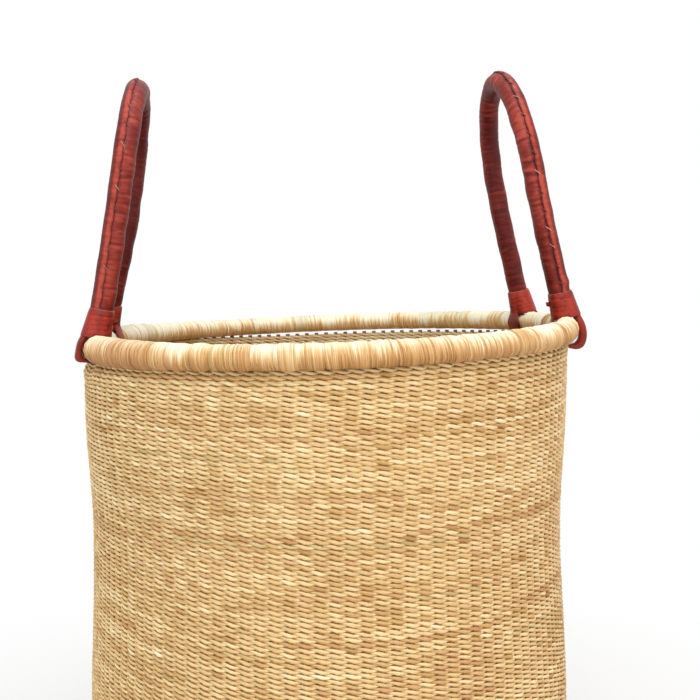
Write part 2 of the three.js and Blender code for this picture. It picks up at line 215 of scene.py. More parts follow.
def twined_rows(radius, height, tilt, stitches, size):
    """Rings of two crossing strands. tilt is the cloth's angle from level where each row lies. Gives
    the rings of points, and each ring's tone and odd colour."""
    rows = len(radius)
    steps = stitches * steps_per_stitch
    shape = (rows, 2, steps)
    place = np.arange(steps) / steps_per_stitch
    count = place + np.arange(2)[None, :, None] + np.arange(rows)[:, None, None]
    which = np.broadcast_to(np.floor(count + 0.5).astype(int) % stitches, shape)

    def each_stitch(spread):
        return np.take_along_axis(rng.normal(0, spread, (rows, 2, stitches)), which, 2)

    wave, slope = np.cos(np.pi * count), np.sin(np.pi * count)
    belly = wave ** 2
    out = swing_out * size * wave * (1 + uneven_out * each_stitch(1) * belly)
    side = size * (-swing_side * slope + uneven_side * belly * each_stitch(1))
    half_out = size * (cross_half_out + belly_half_out * belly)
    half_side = size * (cross_half_side + belly * (belly_half_side + each_stitch(uneven_width)))
    # A strand is one stalk for five to twenty stitches, then the next is laid in.
    joined = rng.random((rows, 2, stitches)) < stalk_end_share
    stalk = np.maximum.accumulate(np.where(joined, np.arange(stitches), 0), axis=2)
    stalk_tone = np.take_along_axis(rng.normal(0, 1, (rows, 2, stitches)), stalk, 2)
    stalk_kind = np.take_along_axis(rng.random((rows, 2, stitches)), stalk, 2)
    # Straw from one bunch lasts for about a dozen stitches of a row, in both strands.
    new_bunch = rng.random((rows, 1, stitches)) < bunch_end_share
    bunch = np.maximum.accumulate(np.where(new_bunch, np.arange(stitches), 0), axis=2)
    bunch_tone = np.take_along_axis(rng.normal(0, 1, (rows, 1, stitches)), bunch, 2)
    bunch_tone = np.take_along_axis(np.repeat(bunch_tone, 2, 1), which, 2)
    row_tone = rng.normal(0, row_tones, (rows, 1, 1))
    stalk_tone = np.take_along_axis(stalk_tone, which, 2)
    tone = 0.5 + row_tone + bunch_tones * bunch_tone + stalk_tones * stalk_tone
    tone = tone + each_stitch(stitch_tones)
    kind = np.take_along_axis(stalk_kind, which, 2)
    odd = np.where(kind < olive_share, olive_strand, np.where(kind > brown_from, brown_strand, 0.0))
    drift = np.cumsum(rng.normal(0, row_creep, rows)) + rng.normal(0, row_slip, rows)
    turn = 2 * np.pi * (place + drift[:, None, None]) / stitches
    around = 2 * np.pi * np.arange(strand_sides) / strand_sides
    outward = out[..., None] + half_out[..., None] * np.cos(around)
    upward = side[..., None] + half_side[..., None] * np.sin(around)
    sine, cosine = np.sin(tilt)[:, None, None, None], np.cos(tilt)[:, None, None, None]
    reach = radius[:, None, None, None] + outward * sine + upward * cosine
    level = height[:, None, None, None] - outward * cosine + upward * sine
    turn = np.broadcast_to(turn, shape)[..., None]
    points = np.stack([reach * np.cos(turn), reach * np.sin(turn), level], -1)
    flat = (rows * 2, steps)
    return points.reshape(*flat, strand_sides, 3), tone.reshape(flat), odd.reshape(flat)


def strand_piece(name, parts, step_length, replaced, material):
    """One piece of the cloth, from groups of twined rows."""
    bpy.ops.object.select_all(action="DESELECT")
    for points, tone, odd in parts:
        piece = tube_piece(
            name, points, closed=True, step_length=step_length, girth=8, values={"tone": tone, "odd": odd})
        piece.select_set(True)
    bpy.context.view_layer.objects.active = piece
    if len(parts) > 1:
        bpy.ops.object.join()
    piece.name = name
    piece.data.materials.clear()
    piece.data.materials.append(material)
    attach(piece, "basket")
    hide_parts(replaced)


wall_shades = ["#a67640", "#caa267", "#e3c38c", "#f3dcaa", "#fbf1d4"]
woven_straw = dried_straw("twined elephant grass straw", wall_shades, 0.55)

rings_in = np.arange(base_start_radius, base_flat_radius, base_row_pitch)
edge_turns = np.arange(base_row_pitch * edge_first_share, edge_middle_radius * edge_arc, base_row_pitch)
edge_turns = edge_turns / edge_middle_radius
for name, radius, height, tilt in [
    ("base_rows", rings_in, np.full(len(rings_in), base_middle_height), np.zeros(len(rings_in))),
    ("base_edge_rows", base_flat_radius + edge_middle_radius * np.sin(edge_turns),
     edge_centre_height - edge_middle_radius * np.cos(edge_turns), edge_turns),
]:
    parts = []
    for k in range(len(radius)):
        stitches = max(4, 2 * round(math.pi * radius[k] / stitch_pitch))
        parts.append(twined_rows(
            radius[k:k + 1], height[k:k + 1], tilt[k:k + 1], stitches, base_strand_size))
    strand_piece(name, parts, stitch_pitch / steps_per_stitch, "base_weave", woven_straw)


# Wall: the same two-strand twining, ring on ring of 120 stitches, from the base's edge to the rim.
# It swells at the belly, draws in at the waist and tips with the hand-made rim. The rows spread
# under each handle's foot, where the leather strap goes through the cloth.
wall_stitches = 120
wall_row_pitch = 3.4
wall_first_row = 25.6
wall_half_thickness = 2.5
rows_per_band = 20
rim_height = 501.2
rim_radius = 191.2
rim_lean = math.radians(2.3)
lean_start_height = 270
lean_exponent = 1.6
rim_shift = 1.2
rim_sag = 1.5
rim_sag_heights = (380, 490)
mouth_height = 478.2
throat_height = 492.4
wall_top = 494.8
side_heights = np.array([23.8, 180, 358.2, 430.2, 478.2])
side_radii = np.array([190, 198.8, 192.6, 195.7, 196.2])
side_slopes = np.array([0.065, 0.008, 0, 0.036, -0.01])
belly_drift = 1.9
belly_drift_top = 330
mouth_drift = 1.8
# Near the base and near the rim the rows lie level.
calm_base_heights = (24, 60)
calm_rim_heights = (450, 485)
left_widening = 2.6
widening_heights = (474, 488)
slipped_turn = 1.15
slipped_drop = 2.8
# How many rows behind, under the rim, are painted paler as painted light, and by how much.
painted_light_rows = 5
painted_light_tone = 0.22
foot_half_spread = 50.0
foot_sweep = math.asin(foot_half_spread / rim_radius)
foot_turns = [-foot_sweep, foot_sweep, math.pi - foot_sweep, math.pi + foot_sweep]
strap_hole_half = 7.5
strap_hole_fade = 10
strap_hole_top = 10
strap_hole_depth = 38
# How far each strap presses the rows down, and each strap's half width, in the order of foot_turns.
strap_hole_drops = [6.4, 6.4, 2.6, 2.6]
strap_half_wides = {"right_front": 6.5, "right_rear": 9.2, "left_rear": 6.4, "left_front": 4.6}


def smooth_step(value, low, high):
    """From 0 at low to 1 at high, level at both ends."""
    share = np.clip((value - low) / (high - low), 0, 1)
    return share * share * (3 - 2 * share)


def wall_reach(height):
    """Radius of the cloth's middle at a height, before the lean: a smooth line through the foot, the
    belly, the waist, the shoulder and the mouth."""
    level = np.clip(height, side_heights[0], side_heights[-1])
    part = np.clip(np.searchsorted(side_heights, level) - 1, 0, len(side_heights) - 2)
    span = side_heights[part + 1] - side_heights[part]
    t = (level - side_heights[part]) / span
    side = (side_radii[part] * (1 + 2 * t) * (1 - t) ** 2 + side_radii[part + 1] * t * t * (3 - 2 * t)
            + span * t * (1 - t) * (side_slopes[part] * (1 - t) - side_slopes[part + 1] * t))
    throat = rim_radius + wall_half_thickness
    return side + (throat - side) * smooth_step(height, mouth_height, throat_height) - wall_half_thickness


def rim_wave(turn):
    """The rim sags a little in front and behind, between the handles."""
    return -rim_sag * np.sin(turn) ** 2


def from_foot(turn, foot):
    """How far round the rim a direction lies from a foot, in millimetres."""
    return np.abs((turn - foot + np.pi) % (2 * np.pi) - np.pi) * rim_radius


def hand_made(points):
    """Wall points, in millimetres, with the straps' holes, the wavy rows, the lean and the drift."""
    x, y, z = points[..., 0], points[..., 1], points[..., 2]
    turn = np.arctan2(y, x)
    below = rim_height - z
    push = np.zeros_like(z)
    for foot, drop in zip(foot_turns, strap_hole_drops):
        away = from_foot(turn, foot)
        push += drop * (1 - smooth_step(away, strap_hole_half, strap_hole_half + strap_hole_fade))
    # Behind on the right the rows have slipped, and light shows between them and the rim.
    push += slipped_drop * smooth_step(np.cos(turn - slipped_turn), 0.5, 0.9)
    push *= np.clip(1 - (below - strap_hole_top) / (strap_hole_depth - strap_hole_top), 0, 1)
    calm = smooth_step(z, *calm_base_heights) * (1 - smooth_step(z, *calm_rim_heights))
    waves = sum(
        size * np.sin(times * turn + start + z * rise)
        for times, size, start, rise in [
            (2, 0.7, 0.4, 0.011), (3, 0.5, 2.1, -0.017), (5, 0.35, 4.0, 0.023), (8, 0.2, 1.0, -0.041)])
    risen = np.clip((z - lean_start_height) / (wall_top - lean_start_height), 0, 1)
    lift = x * math.tan(rim_lean) * risen ** lean_exponent + calm * waves - push
    lift += rim_wave(turn) * smooth_step(z, *rim_sag_heights)
    # Beside the left handle the wall stays wide right up to the rim.
    beside_left = smooth_step(-np.cos(turn), 0.5, 0.95)
    widen = 1 + left_widening / rim_radius * beside_left * smooth_step(z, *widening_heights)
    x, y = x * widen, y * widen
    swelled = np.clip((z - edge_centre_height) / (belly_drift_top - edge_centre_height), 0, 1)
    drift = belly_drift * np.sin(np.pi * swelled)
    drift = drift - mouth_drift * smooth_step(z, lean_start_height, mouth_height)
    back = rim_shift + mouth_drift + below * math.sin(rim_lean)
    back = back * smooth_step(z, mouth_height, throat_height)
    return np.stack([x + drift + back, y, z + lift], -1)


row_heights = np.arange(wall_first_row, throat_height, wall_row_pitch)
for band, first in enumerate(range(0, len(row_heights), rows_per_band)):
    heights = row_heights[first:first + rows_per_band]
    points, tone, odd = twined_rows(
        wall_reach(heights), heights, np.full(len(heights), np.pi / 2), wall_stitches, 1.0)
    # Behind, where the rim shades them, the uppermost rows are painted paler as painted light, and have no
    # olive or brown strands.
    if first + rows_per_band >= len(row_heights):
        turn = 2 * np.pi * np.arange(tone.shape[1]) / tone.shape[1]
        tone[-2 * painted_light_rows:] += painted_light_tone * (np.sin(turn) > 0)
        odd[-2 * painted_light_rows:] *= np.sin(turn) < 0
    strand_piece(f"wall_rows_{band + 1}", [(hand_made(points), tone, odd)],
                 stitch_pitch / steps_per_stitch, "wall_weave", woven_straw)


# Stakes: 120 stiff stalks that fan out over the base, turn up at its edge and stand in the wall,
# with the strands crossing between them. Their tops are laid into the rim.
stake_half_thick = 0.55
stake_half_wide = 1.9
stake_sides = 4
base_steps = 6
edge_steps = 5
wall_steps = 16
# Every 15th stake starts at the middle of the base, every fifth 34 mm out and the rest 96 mm out.
stake_starts = ((15, 0.5), (5, 34), (1, 96))
stake_clearance = 2
stake_cut = 26
# The corners of a four-sided stake lie this much further out than its faces.
corner_reach = 1.41
stake_points = []
for k in range(wall_stitches):
    turn = 2 * math.pi * k / wall_stitches
    inner = next(start for every, start in stake_starts if k % every == 0)
    in_hole = min(from_foot(turn, foot) for foot in foot_turns) <= strap_hole_half + stake_clearance
    top = rim_height - stake_cut if in_hole else wall_top
    reach = np.linspace(inner, base_flat_radius, base_steps)
    bend = np.linspace(0, np.pi / 2, edge_steps + 1)[1:]
    rise = np.linspace(edge_centre_height, top, wall_steps + 1)[1:]
    path = np.concatenate([reach, base_flat_radius + edge_middle_radius * np.sin(bend), wall_reach(rise)])
    level = np.concatenate([
        np.full(base_steps, base_middle_height),
        edge_centre_height - edge_middle_radius * np.cos(bend),
        rise])
    tilt = np.concatenate([np.zeros(base_steps), bend, np.full(wall_steps, np.pi / 2)])
    ring = []
    for side in range(stake_sides):
        angle = 2 * math.pi * (side + 0.5) / stake_sides
        out = stake_half_thick * corner_reach * math.cos(angle)
        across = stake_half_wide * corner_reach * math.sin(angle)
        far, high = path + out * np.sin(tilt), level - out * np.cos(tilt)
        ring.append(np.stack([
            far * math.cos(turn) - across * math.sin(turn),
            far * math.sin(turn) + across * math.cos(turn), high], -1))
    stake_points.append(np.stack(ring, 1))
stake_points = np.array(stake_points)
# The stakes get the darkest straw tone, as painted shade for the gaps between the stitches where they show.
stake_tone = np.repeat(rng.normal(0.05, 0.08, (wall_stitches, 1)), stake_points.shape[1], 1)
stakes = tube_piece("stakes", hand_made(stake_points), closed=False, step_length=20, girth=6,
                    values={"tone": stake_tone, "odd": np.zeros_like(stake_tone)})
stakes.data.materials.append(woven_straw)
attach(stakes, "basket")
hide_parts("wall_weave")


# Rim core: the stakes' ends and loose straw, laid round the mouth as one thick roll. It is hidden by
# the wrapping, apart from dark specks between the strands.
bundled_straw = dried_straw("bundled straw core", ["#6b4420", "#855a2c", "#a57540", "#b98a50"], 0.7)
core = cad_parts["rim_core"]
core.data.materials.clear()
core.data.materials.append(bundled_straw)


# Rim wrapping: flat straw strands wound over the core in 80 bundles. Each bundle comes up through the
# top of the wall, fans out over the rim and goes back through the wall, so the strands are gathered
# below and spread above. The straw is the palest in the basket, and slightly glossy.
strands_per_bundle = 13
wrap_steps = 14
wrap_sides = 5
wrap_radius = 8.25
wrap_tuck_radius = 7.4
# Angles round the rim's tube: 0 is the top, and a quarter turn is off the basket.
wrap_end_turn = math.radians(166)
wrap_tuck_share = 0.88
fullest_turn = 1.3
sag_turn = 2.2
sag_spread = 0.5
bundle_count = 80
bundle_pitch = 15.0
wrap_slant = 2.4
fuller_ends = {"right": 0.7, "left": 2.8}
front_sag = 1.6
strap_groove_depth = 0.8
strap_groove_fade = 5
new_bunch_share = 0.62
bundle_swells = (0.6, 1.6)
bundle_fill = 1.02
most_drawn_in = 0.09
bundle_leans = 0.3
strand_half_wide = 0.86
strand_half_thick = 0.4
strand_places = 0.06
strand_lifts = 0.12
strand_tones = 0.065
bundle_blotches = 0.25
strand_blotches = 0.22
# Painted light on the rim's top and on the wrapping behind, and painted shade below.
painted_light_on_top = 0.6
painted_light_behind = 0.06
painted_shade_below = 0.13

bundle = np.repeat(np.arange(bundle_count), strands_per_bundle)
spot = (np.tile(np.arange(strands_per_bundle), bundle_count) + 0.5) / strands_per_bundle - 0.5
# Bundles of one straw come in runs of one to three.
new_bunch = rng.random(bundle_count) < new_bunch_share
bunch_of = np.maximum.accumulate(np.where(new_bunch, np.arange(bundle_count), 0))
bunch_tone = rng.choice([0.39, 0.44, 0.48, 0.53], bundle_count, p=[0.15, 0.3, 0.35, 0.2])[bunch_of]
bunch_odd = rng.choice([0, -0.25, 0.25], bundle_count, p=[0.82, 0.1, 0.08])[bunch_of]
bundle_swell = rng.uniform(*bundle_swells, bundle_count)
strand_tone = bunch_tone[bundle] + rng.normal(0, strand_tones, len(bundle))
# The wrapping behind is painted paler, as painted light.
strand_tone = strand_tone + painted_light_behind * (bundle < bundle_count / 2)
strand_odd = np.where(rng.random(len(bundle)) < olive_share, olive_strand, bunch_odd[bundle])
turns = np.linspace(-wrap_end_turn, wrap_end_turn, wrap_steps)
share = np.abs(turns) / wrap_end_turn
drawn_in = rng.uniform(0.0, most_drawn_in, bundle_count)[bundle][:, None]
gather = bundle_fill - drawn_in * smooth_step(share, 0.5, 0.9)
lean = rng.normal(0, bundle_leans, bundle_count)[bunch_of][bundle]
uneven = rng.normal(0, strand_places, (len(bundle), 1)) / strands_per_bundle
shift = (spot[:, None] * gather + uneven) * bundle_pitch
shift = shift + (wrap_slant + lean[:, None]) * turns / np.pi
azimuth = 2 * np.pi * (bundle[:, None] + 0.5) / bundle_count + shift / rim_radius
swell = (bundle_swell[bundle] * (1 - (2 * spot) ** 2))[:, None] * np.cos((turns - fullest_turn) / 2) ** 2
lift = rng.normal(0, strand_lifts, (len(bundle), 1)) * np.sin(np.linspace(0, np.pi, wrap_steps))
tucked = smooth_step(share, wrap_tuck_share, 1.0)
tube_reach = wrap_radius + (wrap_tuck_radius - wrap_radius) * tucked + lift
# More straw is laid under the wrapping beside the handles, on the outside.
fuller = (fuller_ends["right"] * smooth_step(np.cos(azimuth), 0.5, 0.95)
          + fuller_ends["left"] * smooth_step(-np.cos(azimuth), 0.5, 0.95))
swell = swell + fuller * (0.5 + 0.5 * np.cos(turns - fullest_turn))
# At the front the wrapping sags over the first row.
sagging = front_sag * smooth_step(-np.sin(azimuth), 0.2, 0.7)
swell = swell + sagging * np.exp(-((turns - sag_turn) / sag_spread) ** 2)
# Each strap has pressed its own groove.
for foot, half_wide in zip(foot_turns, strap_half_wides.values()):
    free = smooth_step(from_foot(azimuth, foot), half_wide, half_wide + strap_groove_fade)
    swell = swell * free - strap_groove_depth * (1 - free)
tube_reach = tube_reach + swell
rings = []
for side in range(wrap_sides):
    angle = 2 * math.pi * side / wrap_sides + math.pi / 2
    reach = tube_reach + strand_half_thick * math.sin(angle)
    along = strand_half_wide * math.cos(angle) * (0.75 + 0.25 * gather)
    far = rim_radius + reach * np.sin(turns)
    rings.append(np.stack([
        far * np.cos(azimuth) - along * np.sin(azimuth),
        far * np.sin(azimuth) + along * np.cos(azimuth),
        reach * np.cos(turns) + rim_wave(azimuth)], -1))
rings = np.stack(rings, 2)
rim_place = Matrix.Translation((rim_shift, 0, rim_height)) @ Matrix.Rotation(-rim_lean, 4, "Y")


def placed(points, matrix):
    """Points in millimetres, moved by a matrix."""
    turned = points @ np.array(matrix.to_3x3()).T
    return turned + np.array(matrix.translation)


# Painted light and shade: the straw is painted paler on top of the rim, in blotches, and darker
# and browner below.
blotch = rng.normal(0, bundle_blotches, bundle_count)[bundle][:, None]
blotch = blotch + rng.normal(0, strand_blotches, (len(bundle), 1))
painted_light_and_shade = painted_light_on_top * smooth_step(np.cos(turns + 0.12) + blotch, -0.1, 1.05) - 0.12
painted_light_and_shade = painted_light_and_shade - painted_shade_below * smooth_step(turns, 1.5, 2.2)
wrap_values = {
    "tone": strand_tone[:, None] + painted_light_and_shade,
    "odd": np.repeat(strand_odd[:, None], wrap_steps, 1)}
rim_wrap = tube_piece("rim_wrapping", placed(rings, rim_place), closed=False, step_length=3.7, girth=4,
                      values=wrap_values)
rim_shades = ["#86592c", "#bf8d54", "#e0ba84", "#eedfb6", "#f8f3de"]
wrapping_straw = dried_straw("flat wrapped straw", rim_shades, 0.36)
rim_wrap.data.materials.append(wrapping_straw)
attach(rim_wrap, "basket")
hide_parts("rim_wrap")


# Handle covers: each is one sheet of goat leather, dyed red-brown, rolled round a straw core with its
# free edge lapped over the start and sewn down on the outer face. The leather was shrunk on wet, so
# it is creased across like bamboo, and the lap stands up as a smooth raised strip.
cover_radius = 8.3
cover_thickness = 1.0
cover_start = 21.0
leg_straights = {"right": 125.0, "left": 134.0}
handle_reaches = {"right": 208.0, "left": 203.5}
handle_bow = 3.6
bow_start = 46.0
# How far each handle's two feet are set off the basket, and the heights over which that fades.
foot_sets = {"right": (1.6, 1.6), "left": (3.8, 0.3)}
foot_set_heights = (25, 110)
lap_angles = {"right": -3, "left": 8}
# Painted shadow in the gap beside the lap's edge, by side.
seam_painted_shadows = {"right": 0.3, "left": 0.12}
lap_sweep = 58
lap_slope = 34
lap_rise = 1.05
sheet_sweep = 420
stitch_spacing = 15.0
# How far each stitch draws the free edge in and how far it wanders, in degrees, and how far it gapes
# between the stitches and is pressed down by them.
edge_drawn = 4
edge_wander = 1.5
edge_wander_length = 17
edge_gape = 0.45
edge_press = 0.25
lap_smoothness = 0.75
# Painted shade on the side that looks into the loop, a painted highlight on the lap and painted shade
# behind it.
loop_side_painted_shade = 0.17
lap_painted_highlight = 0.3
behind_lap_painted_shade = 0.2
fold_height = 1.7
fold_place = 15.5
fold_length = 3.6
fold_middle_sweep = 34
fold_sweep = 30
cover_steps_along = 380
cover_steps_round = 38
chord_radius = rim_radius * math.cos(foot_sweep)
handles = [
    ("right", 0, math.radians(11), 1),
    ("left", math.pi, math.radians(11.8), -1)]


def dyed_leather(name, deep, main, palest, roughness, wrinkles):
    """Vegetable-tanned goat leather with a red-brown dye: semi-gloss, with painted shade in its
    creases and painted light on its ridges, a fine pebbled grain, fine wrinkles and pale, undyed cut edges."""
    material, tree, shader = new_material(name)
    shader.inputs["Specular IOR Level"].default_value = 0.28
    shade_and_tone = add_node(tree, "ShaderNodeAttribute", {}, attribute_name="shade_and_tone").outputs["Fac"]
    cut = add_node(tree, "ShaderNodeAttribute", {}, attribute_name="cut").outputs["Fac"]
    places = add_node(tree, "ShaderNodeTexCoord", {})
    place = places.outputs["Object"]
    # The dye takes unevenly over 15 to 40 mm.
    dye = add_node(tree, "ShaderNodeTexNoise", {"Vector": place, "Scale": 34, "Detail": 3})
    # The wrinkles lie 1.5 to 2 mm apart.
    stretched = add_node(
        tree, "ShaderNodeMapping", {"Vector": places.outputs["UV"], "Scale": wrinkles})
    wrinkle = add_node(
        tree, "ShaderNodeTexNoise", {"Vector": stretched.outputs[0], "Scale": 1, "Detail": 2})
    # The attribute read above paints shade into the creases and light onto the ridges, with the covers'
    # other painted light and shade and the bindings' tone.
    hollow = add_node(tree, "ShaderNodeMapRange", {
        "Value": shade_and_tone, "From Min": -0.35, "From Max": 0.3, "To Min": -0.45, "To Max": 0.22})
    level = add_node(
        tree, "ShaderNodeMath", {0: dye.outputs["Fac"], 1: hollow.outputs[0]}, operation="ADD")
    lined = add_node(tree, "ShaderNodeMapRange", {
        "Value": wrinkle.outputs["Fac"], "From Min": 0.3, "From Max": 0.7, "To Min": -0.12, "To Max": 0.12})
    level = add_node(
        tree, "ShaderNodeMath", {0: level.outputs[0], 1: lined.outputs[0]}, operation="ADD")
    ramp = add_node(tree, "ShaderNodeValToRGB", {"Fac": level.outputs[0]})
    stops = ramp.color_ramp.elements
    stops.new(0.5)
    for stop, position, colour in zip(stops, (0.2, 0.5, 0.8), (deep, main, palest)):
        stop.position = position
        stop.color = linear(colour)
    edged = add_node(tree, "ShaderNodeMix", {
        0: cut, 6: ramp.outputs["Color"], 7: linear("#dba58c")}, data_type="RGBA")
    # The real grain is 0.5 mm; it is drawn at 1.2 mm so that it shows.
    grain = add_node(tree, "ShaderNodeTexVoronoi", {"Vector": place, "Scale": 850})
    bump = add_node(tree, "ShaderNodeBump", {
        "Height": grain.outputs["Distance"], "Strength": 0.35, "Distance": 0.0003})
    bump = add_node(tree, "ShaderNodeBump", {
        "Height": wrinkle.outputs["Fac"], "Normal": bump.outputs[0], "Strength": 0.5, "Distance": 0.0006})
    gloss = add_node(tree, "ShaderNodeMapRange", {
        "Value": dye.outputs["Fac"], "To Min": roughness - 0.1, "To Max": roughness + 0.14})
    tree.links.new(edged.outputs[2], shader.inputs["Base Color"])
    tree.links.new(bump.outputs[0], shader.inputs["Normal"])
    tree.links.new(gloss.outputs[0], shader.inputs["Roughness"])
    return material


def handle_place(facing, lean):
    """From a handle's own frame to the basket's: X off the basket, Y from foot to foot, Z up the leg."""
    seat = Matrix.Rotation(facing, 4, "Z") @ Matrix.Translation((chord_radius, 0, 0))
    return rim_place @ seat @ Matrix.Rotation(-lean, 4, "Y")


def unit(vectors):
    """The same directions, each with length one."""
    return vectors / np.linalg.norm(vectors, axis=1)[:, None]


def arch_path(count, side):
    """Evenly spaced points on the handle's centreline, with the axes away from the loop and off the
    basket at each."""
    leg_straight, handle_reach = leg_straights[side], handle_reaches[side]
    leg = np.linspace(cover_start, leg_straight, 200)[:-1]
    sweep = np.linspace(0, np.pi, 400)
    y = np.concatenate([np.full(199, -1.0), -np.cos(sweep), np.full(199, 1.0)]) * foot_half_spread
    z = np.concatenate([leg, leg_straight + (handle_reach - leg_straight) * np.sin(sweep), leg[::-1]])
    x = handle_bow * np.clip((z - bow_start) / (handle_reach - bow_start), 0, 1) ** 2
    x += np.where(y < 0, *foot_sets[side]) * (1 - smooth_step(z, *foot_set_heights))
    line = np.stack([x, y, z], -1)
    run = np.concatenate([[0], np.cumsum(np.linalg.norm(np.diff(line, axis=0), axis=1))])
    length = np.linspace(0, run[-1], count)
    line = np.stack([np.interp(length, run, line[:, k]) for k in range(3)], -1)
    travel = unit(np.gradient(line, axis=0))
    away = unit(np.cross([1.0, 0.0, 0.0], travel))
    return length, line, away, np.cross(travel, away)


def cover_relief(length, angle):
    """How far the leather stands off its plain radius, in millimetres, and how creased it is."""
    relief = np.zeros(np.broadcast(length, angle).shape)
    spot = 4.0
    while spot < length.max():
        deep = rng.uniform(0.06, 0.3)
        tilt, start, width = rng.uniform(-1.2, 1.2), rng.uniform(0, 2 * np.pi), rng.uniform(0.6, 1.0)
        reach = 0.6 + 0.4 * np.cos(angle - rng.uniform(0, 2 * np.pi))
        across = length - spot - tilt * np.sin(angle - start)
        # Beside each crease the leather is pushed up into a lower, broader ridge.
        groove = -np.exp(-(across / width) ** 2) + 0.55 * np.exp(-((across - 2.4) / 1.8) ** 2)
        relief += deep * reach * groove
        spot += rng.uniform(3.5, 9)
    # The creases' depth is kept, to paint shade into them and light onto the ridges beside them.
    shade_and_tone = relief.copy()
    # The straw inside makes low, slow swellings.
    for times, wave, size in [(1, 31, 0.22), (2, 19, 0.14), (3, 47, 0.16)]:
        start = rng.uniform(0, 6.28, 2)
        relief += size * np.sin(length * 2 * np.pi / wave + start[0]) * np.cos(times * angle + start[1])
    return relief, shade_and_tone


cover_leather = dyed_leather(
    "dyed goat leather, shrunk on", "#540d0c", "#81261d", "#b24a3a", 0.46, (7, 160, 1))
for side, facing, lean, _ in handles:
    bpy.ops.object.select_all(action="DESELECT")
    bpy.ops.mesh.primitive_grid_add(
        x_subdivisions=cover_steps_round, y_subdivisions=cover_steps_along, size=1)
    cover = bpy.context.object
    cover.name = f"{side}_cover"
    flat = np.empty(len(cover.data.vertices) * 3)
    cover.data.vertices.foreach_get("co", flat)
    flat = flat.reshape(-1, 3)
    length, line, away, off = arch_path(cover_steps_along + 1, side)
    step = np.rint((flat[:, 1] + 0.5) * cover_steps_along).astype(int)
    round_share = flat[:, 0] + 0.5
    swept = round_share * sheet_sweep
    along = length[step]
    # The free edge is drawn in at each stitch and gapes a little between them.
    pulled = 0.5 + 0.5 * np.cos(2 * np.pi * along / stitch_spacing)
    near_edge = 1 - smooth_step(swept, 0, 40)
    drawn = edge_drawn * (pulled - 0.5) + edge_wander * np.sin(along / edge_wander_length)
    angle = np.radians(lap_angles[side] + swept + near_edge * drawn)
    lap = lap_rise * (1 - smooth_step(swept, lap_sweep, lap_sweep + lap_slope))
    relief, shade_and_tone = cover_relief(along, angle)
    smooth_lap = 1 - lap_smoothness * (1 - smooth_step(swept, lap_sweep - 10, lap_sweep + lap_slope))
    edge_lift = edge_gape * (1 - pulled) - edge_press * pulled
    reach = cover_radius + lap + relief * smooth_lap + near_edge * edge_lift
    # Above one foot of each handle the lap is bunched into a fold.
    fold = fold_height * np.exp(-((along - fold_place) / fold_length) ** 2)
    reach = reach + fold * np.exp(-((swept - fold_middle_sweep) / fold_sweep) ** 2)
    places = line[step] + (reach * np.cos(angle))[:, None] * away[step]
    places = places + (reach * np.sin(angle))[:, None] * off[step]
    places = placed(places, handle_place(facing, lean)) * millimetre
    cover.data.vertices.foreach_set("co", places.ravel())
    # Painted light and shade: the side that looks into the loop is painted darker, as shade, and the
    # outer side lighter. The lap gets a painted highlight near its edge and painted shade further round,
    # and the gap beside its edge a painted shadow.
    # This level is painted shade and light, not dye: the creases' painted shade, then the painted marks
    # below.
    dye = shade_and_tone * smooth_lap + loop_side_painted_shade * np.cos(angle) - 0.04
    dye += lap_painted_highlight * np.exp(-((swept - 14) / 10) ** 2)
    dye -= behind_lap_painted_shade * smooth_step(swept, 24, 40) * (1 - smooth_step(swept, 80, 110))
    dye -= seam_painted_shadows[side] * (np.exp(-((swept - 357) / 4) ** 2) + 1.6 * np.exp(-(swept / 2) ** 2))
    for word, numbers in (("shade_and_tone", dye), ("cut", np.zeros(len(shade_and_tone)))):
        cover.data.attributes.new(word, "FLOAT", "POINT").data.foreach_set("value", numbers)
    cover.data.update()
    middle = cover.data.polygons[len(cover.data.polygons) // 2]
    centre = Vector(placed(line[step[middle.vertices[0]]], handle_place(facing, lean)) * millimetre)
    if middle.normal.dot(middle.center - centre) < 0:
        cover.data.flip_normals()
    thick = cover.modifiers.new("thickness", "SOLIDIFY")
    thick.thickness = cover_thickness * millimetre
    thick.offset = -1
    bpy.ops.object.modifier_apply(modifier="thickness")
    bpy.ops.object.shade_smooth_by_angle(angle=math.radians(50))
    cover.data.materials.append(cover_leather)
    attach(cover, f"{side}_handle")
    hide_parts(f"{side}_handle_cover")


# Handle cores: a tight bundle of straw inside each cover, which gives the handle its stiffness. It
# can be seen only where the cover ends inside the bindings.
core_radius = 6.7
core_sides = 12
core_steps = 80
for side, facing, lean, _ in handles:
    _, line, away, off = arch_path(core_steps, side)
    around = 2 * np.pi * np.arange(core_sides) / core_sides
    rings = line[:, None] + core_radius * (
        np.cos(around)[:, None] * away[:, None] + np.sin(around)[:, None] * off[:, None])
    rings = placed(rings[None], handle_place(facing, lean))
    plain = np.zeros(rings.shape[:2])
    core = tube_piece(f"{side}_straw", rings, closed=False, step_length=6, girth=42,
                      values={"tone": plain + 0.5, "odd": plain})
    core.data.materials.append(bundled_straw)
    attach(core, f"{side}_handle")
    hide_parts(f"{side}_handle_core")


# Sewing: waxed cotton thread, sewn over the free edge of the lap with slanting stitches. Most of it
# has taken up the red dye; a few stitches have stayed pale.
thread_half = 0.34
thread_steps = 9
thread_sides = 6
# A stitch goes from under the lap, over its edge and into the leather beside it: angles from the
# edge and the thread's way off the handle's middle there.
thread_sweeps = [-13, -5, 2, 8, 12]
thread_reaches = [7.9, 8.8, 9.8, 9.7, 8.9]
stitch_slant = (2.6, -2.2)
sewn_end = 4
waxed_cotton, tree, shader = new_material("waxed cotton thread, dye-stained")
stain = add_node(tree, "ShaderNodeAttribute", {}, attribute_name="tone").outputs["Fac"]
ramp = add_node(tree, "ShaderNodeValToRGB", {"Fac": stain})
ramp.color_ramp.elements[0].color = linear("#5c1a15")
ramp.color_ramp.elements[1].color = linear("#e6b09a")
place = add_node(tree, "ShaderNodeTexCoord", {}).outputs["UV"]
